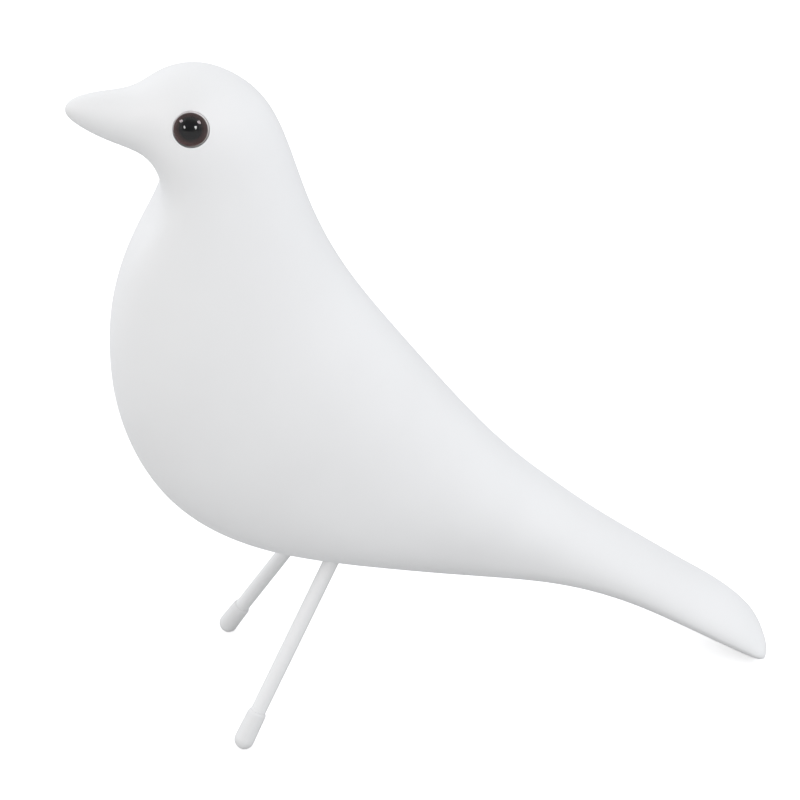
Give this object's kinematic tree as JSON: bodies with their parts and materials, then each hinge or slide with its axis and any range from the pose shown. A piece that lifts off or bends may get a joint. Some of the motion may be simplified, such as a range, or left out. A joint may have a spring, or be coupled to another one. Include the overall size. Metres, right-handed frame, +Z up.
{
  "type": "dove statue",
  "caption": "Smooth matt white dove figure with dark glass eyes, standing on two wire legs and the end of its flat tail.",
  "frame": {"origin": "middle of the footprint, on the surface that the bird stands on", "axes": "+Z up, the beak points along -Y and the tail along +Y, +X is the bird's left side"},
  "size_m": [0.0942, 0.282, 0.276],
  "materials": {
    "white_matt_body": "smooth matt white",
    "white_coated_wire": "white powder coat",
    "white_soft_cap": "soft white moulding",
    "dark_eye_glass": "polished dark brown glass"
  },
  "bodies": {
    "root": {"body": "white_matt_body", "leg_left": "white_coated_wire", "leg_right": "white_coated_wire", "foot_cap_left": "white_soft_cap", "foot_cap_right": "white_soft_cap", "eye_left": "dark_eye_glass", "eye_right": "dark_eye_glass"}
  },
  "joints": []
}
